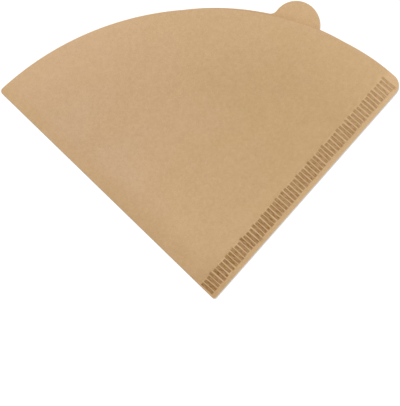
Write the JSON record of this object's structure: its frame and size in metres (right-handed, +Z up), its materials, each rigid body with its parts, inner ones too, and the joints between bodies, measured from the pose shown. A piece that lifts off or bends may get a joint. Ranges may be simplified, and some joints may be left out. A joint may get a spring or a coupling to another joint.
{
  "type": "cone coffee filter",
  "caption": "Folded paper cone filter for pour-over coffee, lying flat, with an arched mouth, a crimped side seam and a round lifting tab.",
  "frame": {"origin": "centre of the folded filter's footprint, on the surface that it lies on", "axes": "+Z up from that surface through both plies; +Y from the tip to the open mouth, half-way between the fold and the seam edge; +X towards the crimped seam"},
  "size_m": [0.1612, 0.119, 0.0068],
  "materials": {
    "filter_paper": "matt unbleached filter paper"
  },
  "bodies": {
    "root": {"filter_paper": "filter_paper"}
  },
  "joints": []
}
